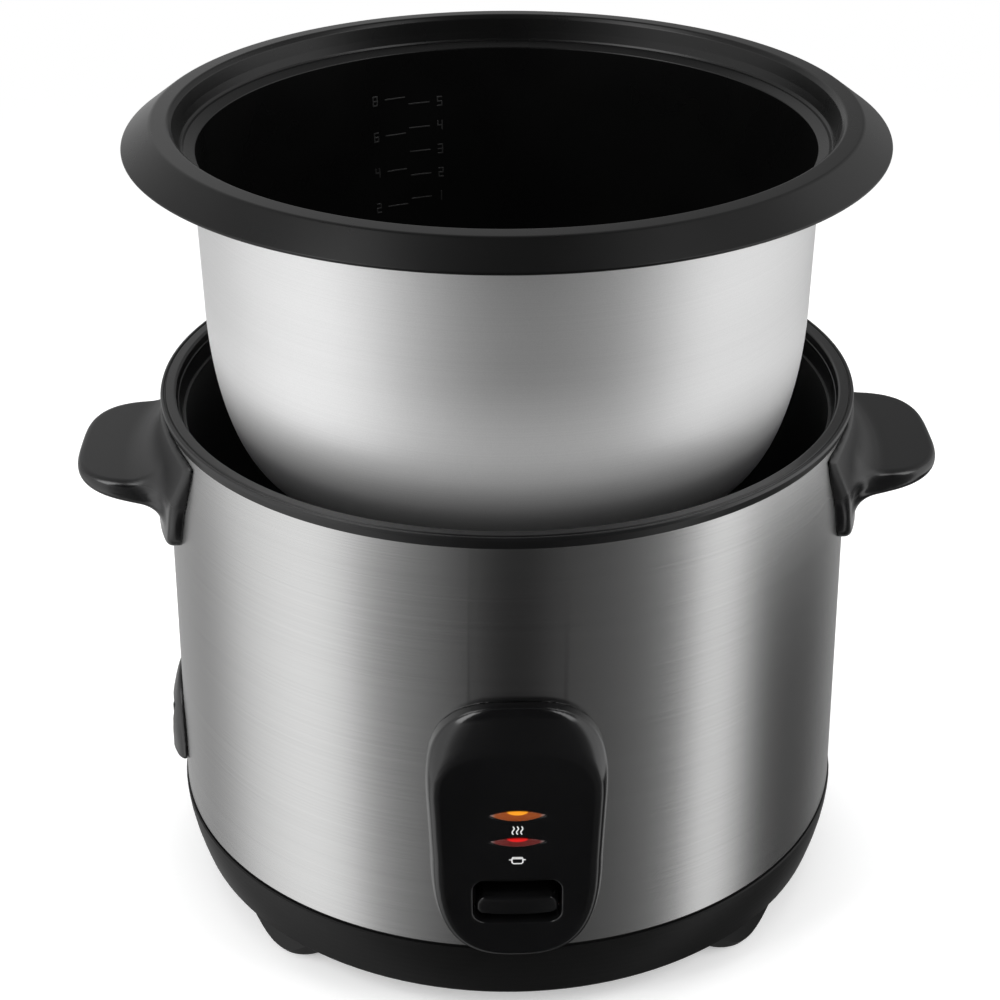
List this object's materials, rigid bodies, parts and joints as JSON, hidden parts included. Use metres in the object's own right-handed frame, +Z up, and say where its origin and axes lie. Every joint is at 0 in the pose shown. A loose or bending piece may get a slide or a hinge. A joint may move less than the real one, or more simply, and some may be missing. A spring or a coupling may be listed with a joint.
{
  "type": "rice cooker",
  "caption": "Small electric rice cooker: brushed steel body with side handles, a front switch and lamps, and a lift-out pot shown raised above its heated well.",
  "frame": {"origin": "on the surface the cooker stands on, at the axis of its round body", "axes": "+Z up, -Y towards the control panel (front), +X to the right seen from the front, through the handles"},
  "size_m": [0.326, 0.2774, 0.3066],
  "materials": {
    "brushed_shell": "vertically lit, horizontally brushed",
    "black_trim": "satin-gloss black",
    "dark_liner": "dark, semi-matt",
    "black_base": "satin-gloss black",
    "rubber_pads": "matt",
    "zinc_steel": "zinc plated sheet",
    "screw_steel": "bright plated",
    "black_handles": "gloss black with a fine-grained top",
    "gloss_panel": "high gloss black",
    "amber_lens": "clear amber",
    "red_lens": "clear red",
    "pale_plastic": "heat-proof plastic",
    "lamp_glass": "neon lamp glass",
    "cast_aluminium": "turned top, cast sides",
    "element_steel": "heat-browned",
    "white_ceramic": "unglazed",
    "mica_band": "mica and fibre band",
    "fuse_sleeve": "glass-fibre sleeve",
    "sensor_aluminium": "satin",
    "ferrite": "dark sintered",
    "gloss_paddle": "gloss black",
    "dark_plastic": "moulded",
    "red_plastic": "moulded",
    "black_bezel": "satin black",
    "inlet_brass": "bright",
    "wire_red": "insulated wire",
    "wire_blue": "insulated wire",
    "wire_white": "insulated wire",
    "pot_aluminium": "spun outside, black non-stick inside and over the lip"
  },
  "bodies": {
    "cooker": {"outer_shell": "brushed_shell", "top_ring": "black_trim", "inner_liner": "dark_liner", "base": "black_base", "foot_pads": "rubber_pads", "bottom_plate": "zinc_steel", "plate_screws": "screw_steel", "post_screws": "screw_steel", "handle_left": "black_handles", "handle_right": "black_handles", "handle_screws": "screw_steel", "control_panel": "gloss_panel", "panel_screws": "screw_steel", "warm_lens": "amber_lens", "cook_lens": "red_lens", "lamp_holder": "pale_plastic", "warm_lamp": "lamp_glass", "cook_lamp": "lamp_glass", "heating_plate": "cast_aluminium", "plate_spacers": "zinc_steel", "plate_bolts": "screw_steel", "heating_element": "element_steel", "terminal_bushes": "white_ceramic", "keep_warm_band": "mica_band", "thermal_fuse": "fuse_sleeve", "fuse_clip": "zinc_steel", "sensor_guide": "zinc_steel", "lever_bracket": "zinc_steel", "bracket_rivets": "screw_steel", "lever_pin": "screw_steel", "micro_switch": "dark_plastic", "inlet_bezel": "black_bezel", "inlet_socket": "dark_plastic", "inlet_pins": "inlet_brass", "wire_live": "wire_red", "wire_neutral": "wire_blue", "wire_heater": "wire_red", "wire_lamps": "wire_white"},
    "pot": {"inner_pot": "pot_aluminium"},
    "sensor": {"sensor_cap": "sensor_aluminium", "ferrite_disc": "ferrite", "sensor_spring": "screw_steel"},
    "lever": {"lever_arm": "zinc_steel", "switch_paddle": "gloss_paddle"},
    "magnet_lift": {"magnet": "ferrite", "magnet_rod": "screw_steel", "rod_clip": "screw_steel"},
    "plunger": {"switch_plunger": "red_plastic"}
  },
  "joints": [
    {"name": "pot_lift", "type": "slide", "parent": "cooker", "child": "pot", "axis": [0, 0, 1], "range_m": [-0.0974, 0.06]},
    {"name": "sensor_press", "type": "slide", "parent": "cooker", "child": "sensor", "axis": [0, 0, 1], "range_m": [-0.003, 0.0019], "deforming": ["sensor_spring"]},
    {"name": "switch_press", "type": "hinge", "parent": "cooker", "child": "lever", "pos_m": [0, -0.102, 0.052], "axis": [1, 0, 0], "range_deg": [0, 3.5]},
    {"name": "magnet_rise", "type": "slide", "parent": "cooker", "child": "magnet_lift", "axis": [0, 0, 1], "range_m": [0, 0.0063]},
    {"name": "plunger_follow", "type": "slide", "parent": "cooker", "child": "plunger", "axis": [0, 0, 1], "range_m": [0, 0.00125]}
  ],
  "couplings": [
    {"joint": "sensor_press", "follows": "pot_lift", "ratio": 0.0303},
    {"joint": "magnet_rise", "follows": "switch_press", "m_per_rad": 0.102},
    {"joint": "plunger_follow", "follows": "switch_press", "m_per_rad": 0.02}
  ]
}
